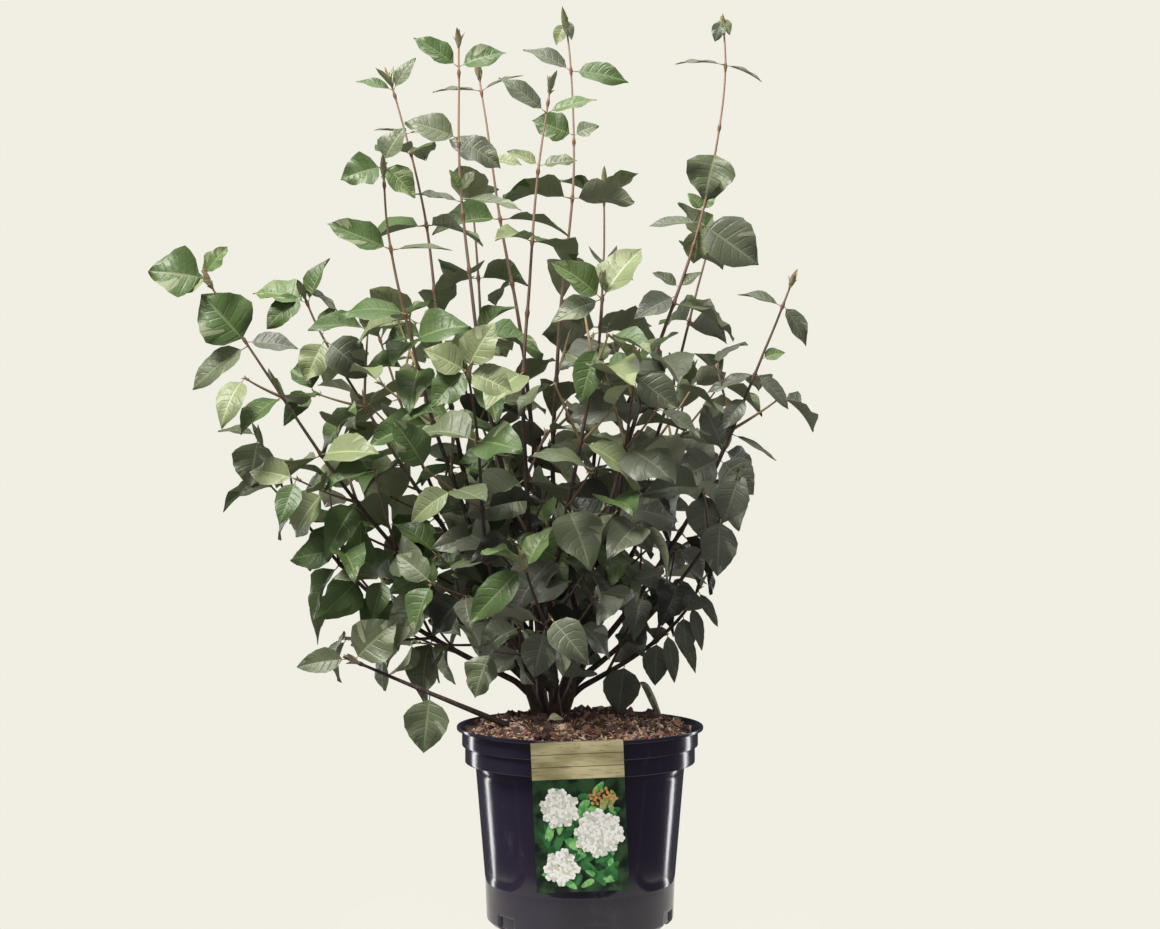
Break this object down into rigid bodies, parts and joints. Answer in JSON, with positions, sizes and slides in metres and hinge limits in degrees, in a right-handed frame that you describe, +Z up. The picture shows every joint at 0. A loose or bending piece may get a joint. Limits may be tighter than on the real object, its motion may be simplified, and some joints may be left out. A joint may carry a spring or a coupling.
{
  "type": "potted fragrant snowball viburnum",
  "caption": "A bushy snowball viburnum shrub, upright leafy shoots of toothed oval leaves on forked woody stems, standing in a round black nursery pot filled with bark compost",
  "frame": {"origin": "the middle of the flat underside of the pot, where it stands on the ground", "axes": "+Z up, +X to the right and +Y away from the viewer of the picture; the plant card hangs on the -Y side"},
  "size_m": [0.7586, 0.5512, 1.0501],
  "materials": {
    "pot_plastic": "gloss",
    "compost": "matte",
    "card": "satin",
    "bark": "matte",
    "foliage": "matte"
  },
  "bodies": {
    "root": {"bough_back_left": "bark", "bough_back_low": "bark", "bough_back_middle": "bark", "bough_back_right": "bark", "bough_far_left": "bark", "bough_front_middle": "bark", "bough_front_right": "bark", "bough_front_rosette": "bark", "bough_ground_left": "bark", "bough_left_arm": "bark", "bough_left_outer": "bark", "bough_low_front": "bark", "bough_low_left_arm": "bark", "bough_low_right": "bark", "bough_low_right_front": "bark", "bough_right_arm": "bark", "bough_right_inner": "bark", "bough_short_left": "bark", "bough_tall_back": "bark", "bough_tall_front": "bark", "bough_tall_left": "bark", "bough_tall_left_back": "bark", "bough_tall_outer_left": "bark", "bough_tall_right": "bark", "label": "card", "pot": "pot_plastic", "soil": "compost", "spray_back_left": "foliage", "spray_back_low": "foliage", "spray_back_middle": "foliage", "spray_back_right": "foliage", "spray_far_left": "foliage", "spray_front_middle": "foliage", "spray_front_right": "foliage", "spray_front_rosette": "foliage", "spray_ground_left": "foliage", "spray_left_arm": "foliage", "spray_left_outer": "foliage", "spray_low_front": "foliage", "spray_low_left_arm": "foliage", "spray_low_right": "foliage", "spray_low_right_front": "foliage", "spray_right_arm": "foliage", "spray_right_inner": "foliage", "spray_short_left": "foliage", "spray_tall_back": "foliage", "spray_tall_front": "foliage", "spray_tall_left": "foliage", "spray_tall_left_back": "foliage", "spray_tall_outer_left": "foliage", "spray_tall_right": "foliage", "sprout": "foliage", "stem_front": "bark", "stem_left": "bark", "stem_left_back": "bark", "stem_middle": "bark", "stem_right": "bark", "stem_right_back": "bark"}
  },
  "joints": []
}
